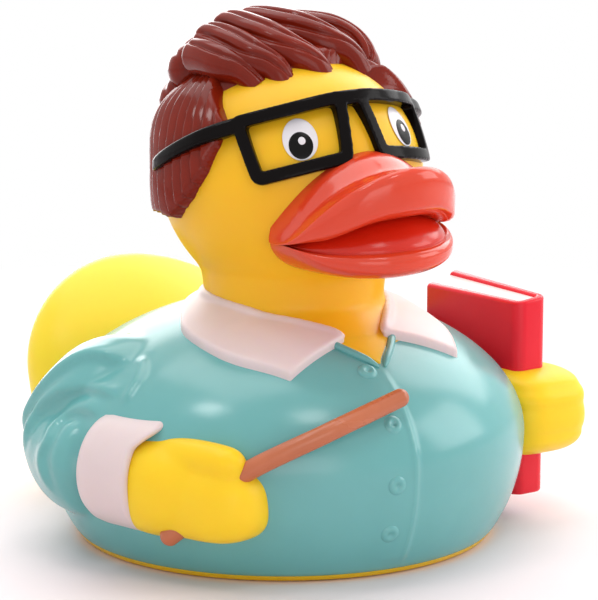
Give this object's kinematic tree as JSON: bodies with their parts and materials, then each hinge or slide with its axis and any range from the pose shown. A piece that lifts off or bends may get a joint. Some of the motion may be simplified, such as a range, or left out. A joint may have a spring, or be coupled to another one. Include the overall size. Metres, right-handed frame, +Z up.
{
  "type": "bath duck",
  "caption": "Hollow moulded vinyl bath duck in a shirt and glasses, with a book under one arm and a pointer in the other hand.",
  "frame": {"origin": "middle of the flat base, on the surface it stands on", "axes": "+Z up, -Y the way the duck's body faces, -X its right hand, which holds the pointer"},
  "size_m": [0.0992, 0.0994, 0.0903],
  "materials": {
    "yellow_vinyl": "satin moulded vinyl",
    "aqua_paint": "satin paint",
    "white_paint": "satin paint",
    "brown_paint": "gloss paint",
    "black_paint": "gloss paint",
    "orange_paint": "gloss paint",
    "tan_paint": "gloss paint",
    "red_paint": "gloss paint"
  },
  "bodies": {
    "root": {"duck_body": "yellow_vinyl"}
  },
  "joints": []
}
